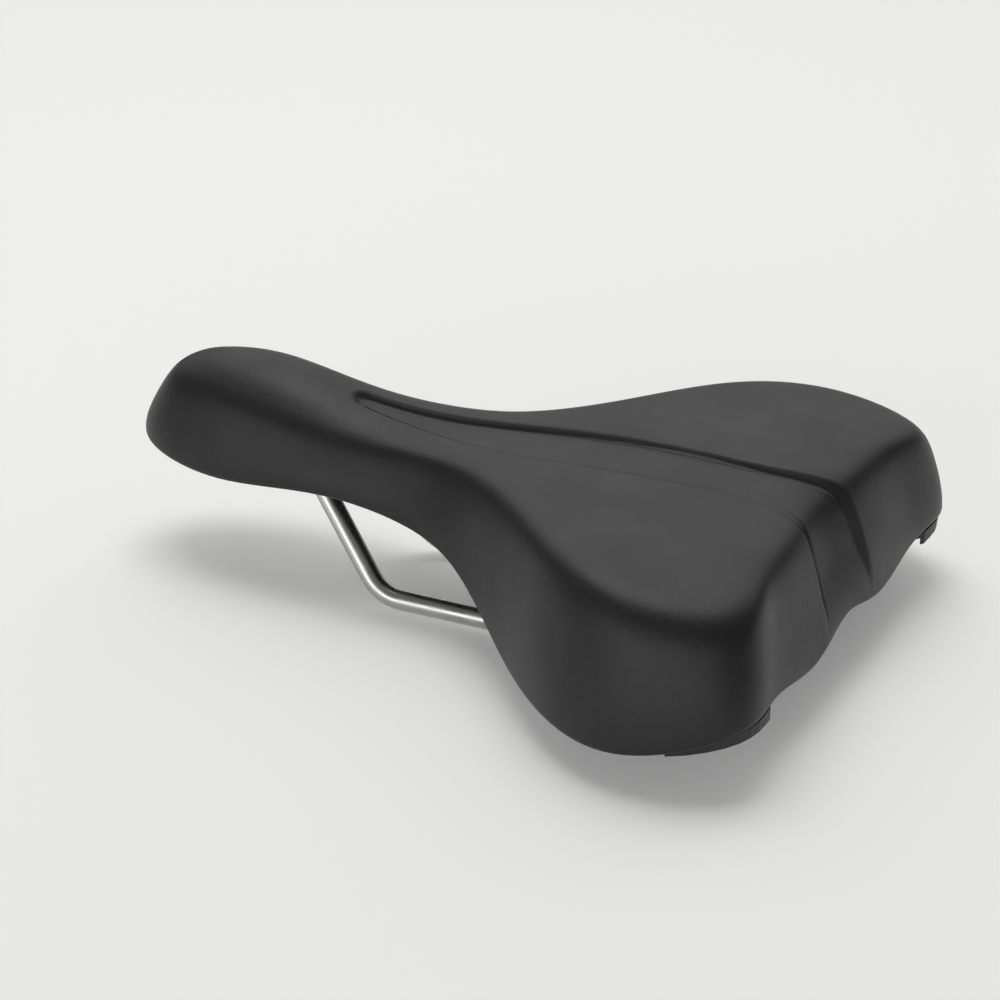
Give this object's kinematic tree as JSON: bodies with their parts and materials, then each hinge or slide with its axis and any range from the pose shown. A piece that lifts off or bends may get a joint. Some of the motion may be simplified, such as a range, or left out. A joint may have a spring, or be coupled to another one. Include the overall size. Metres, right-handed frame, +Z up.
{
  "type": "bike saddle",
  "caption": "Padded saddle with wide rear wings, a recessed centre channel and a narrow nose, on a bent rod rail that a seatpost clamp holds from below.",
  "frame": {"origin": "under the middle of the saddle's length, on the plane of symmetry, at the underside of the rail's clamp length", "axes": "+X to the nose, +Y to the rider's left, +Z up, with the rail's clamp length level"},
  "size_m": [0.2581, 0.2002, 0.071],
  "materials": {
    "synthetic_leather": "fine-grained, semi-matte",
    "polyurethane_foam": "moulded flexible foam with a skin, matte",
    "moulded_polypropylene": "spark-eroded mould texture, matte",
    "plated_steel": "dull nickel plate",
    "zinc_plated_steel": "clear-passivated zinc",
    "nylon": "moulded, satin"
  },
  "bodies": {
    "root": {"cover": "synthetic_leather", "foam_pad": "polyurethane_foam", "base_shell": "moulded_polypropylene", "rail": "plated_steel", "nose_retainer": "moulded_polypropylene", "nose_screw_front": "zinc_plated_steel", "nose_screw_rear": "zinc_plated_steel", "left_rail_bush": "nylon", "right_rail_bush": "nylon", "left_corner_guard": "moulded_polypropylene", "right_corner_guard": "moulded_polypropylene", "left_guard_screw_inner": "zinc_plated_steel", "left_guard_screw_outer": "zinc_plated_steel", "right_guard_screw_inner": "zinc_plated_steel", "right_guard_screw_outer": "zinc_plated_steel", "left_staple_1": "zinc_plated_steel", "left_staple_2": "zinc_plated_steel", "left_staple_3": "zinc_plated_steel", "left_staple_4": "zinc_plated_steel", "left_staple_5": "zinc_plated_steel", "left_staple_6": "zinc_plated_steel", "left_staple_7": "zinc_plated_steel", "right_staple_1": "zinc_plated_steel", "right_staple_2": "zinc_plated_steel", "right_staple_3": "zinc_plated_steel", "right_staple_4": "zinc_plated_steel", "right_staple_5": "zinc_plated_steel", "right_staple_6": "zinc_plated_steel", "right_staple_7": "zinc_plated_steel"}
  },
  "joints": []
}
